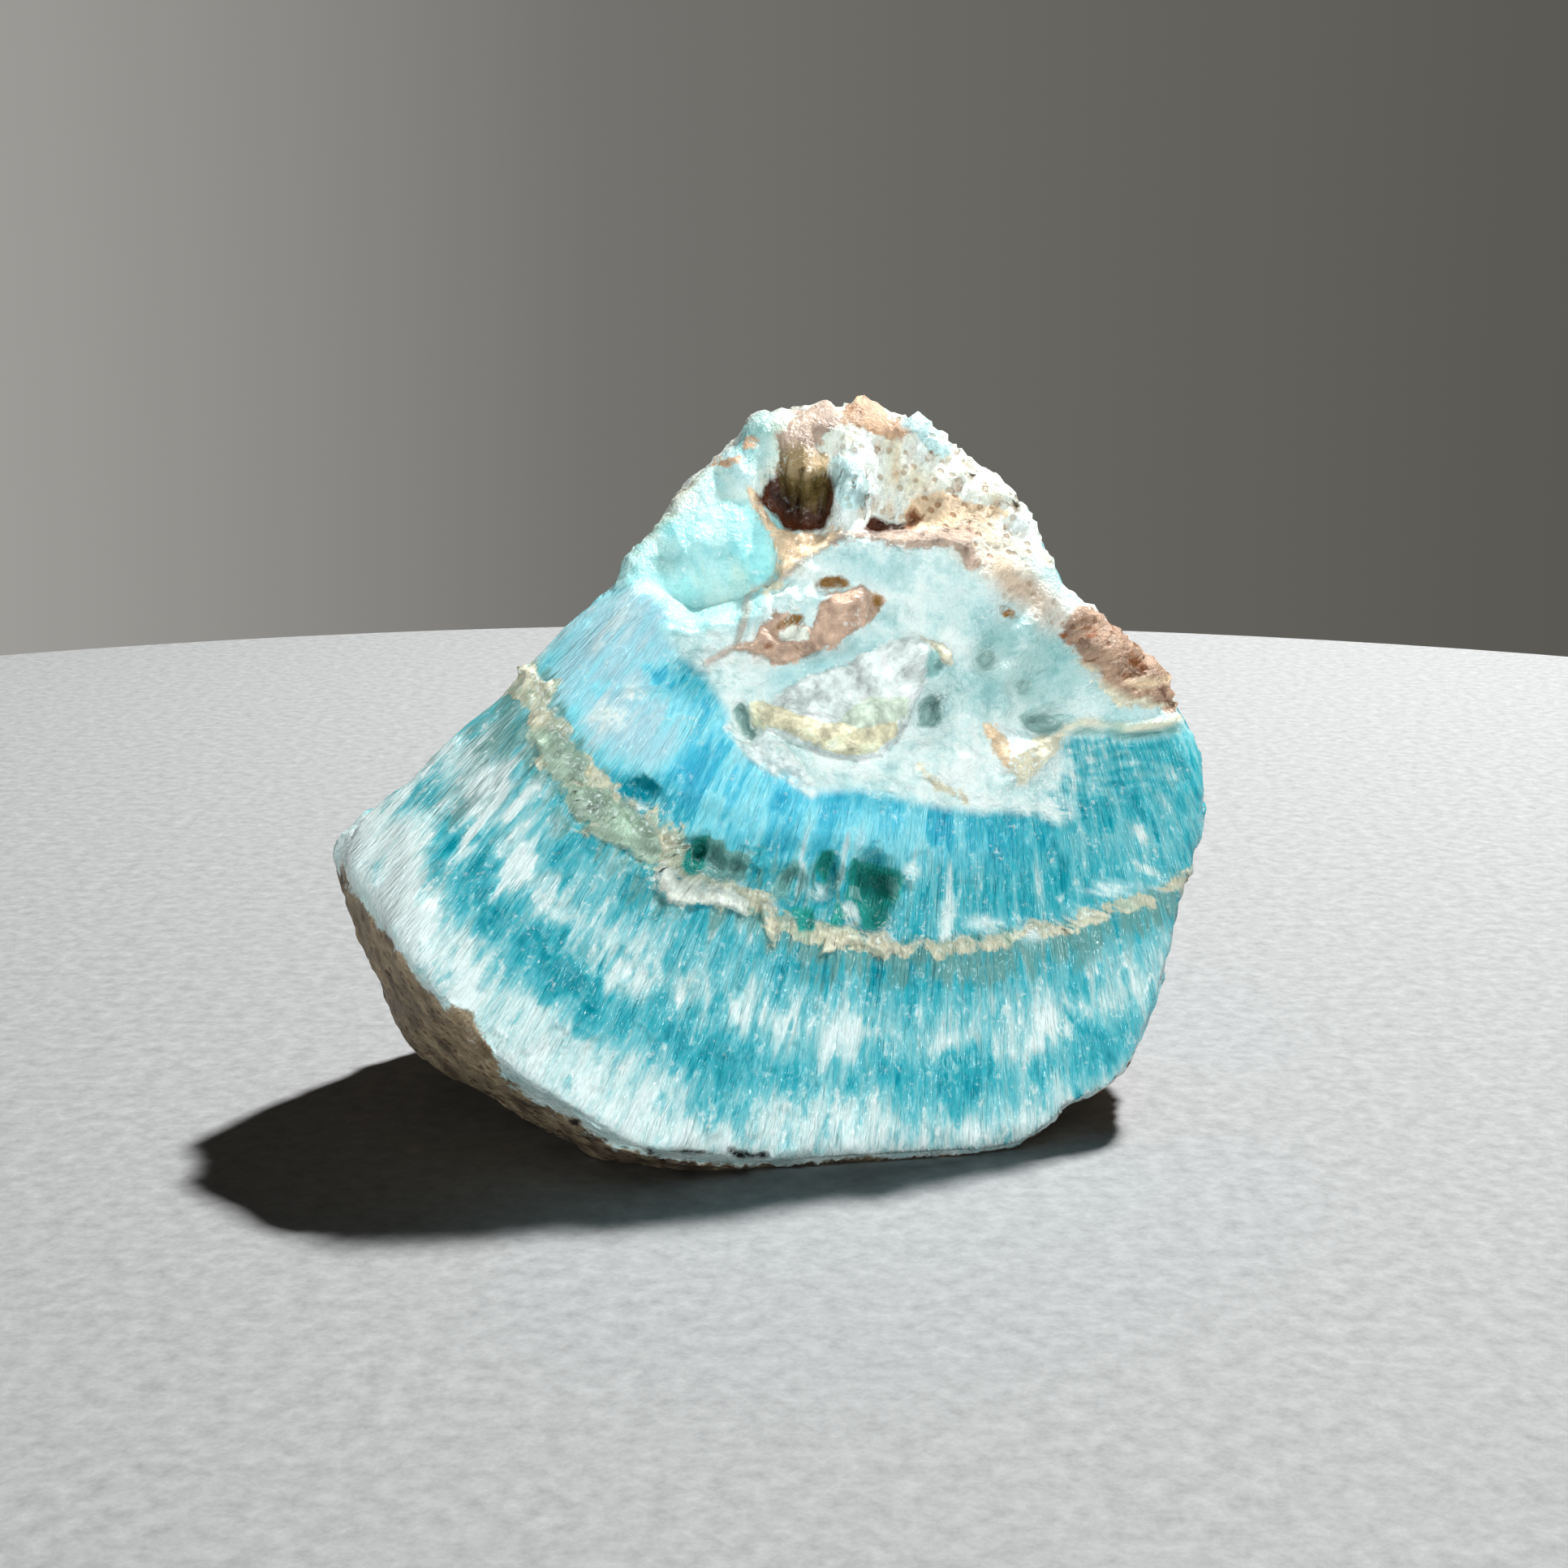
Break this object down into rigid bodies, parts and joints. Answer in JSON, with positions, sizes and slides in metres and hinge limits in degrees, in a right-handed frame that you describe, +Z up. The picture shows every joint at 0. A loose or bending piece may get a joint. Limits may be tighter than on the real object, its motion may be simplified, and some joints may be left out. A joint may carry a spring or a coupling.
{
  "type": "rough blue aragonite stone",
  "caption": "A rough lump of banded blue aragonite with a fibrous broken face, a porous cream and brown crust on top, a brown rind below and a small flat to stand on.",
  "frame": {"origin": "the middle of the lump's box, on the surface it rests on", "axes": "+Z is up, the longest side runs along X, and the broken front face looks along -Y"},
  "size_m": [0.066, 0.0445, 0.0517],
  "materials": {
    "aragonite": "waxy, slightly wet, translucent fibres in turquoise and white bands; matt brown rind below and cream crust on top"
  },
  "bodies": {
    "root": {"blue_aragonite": "aragonite"}
  },
  "joints": []
}
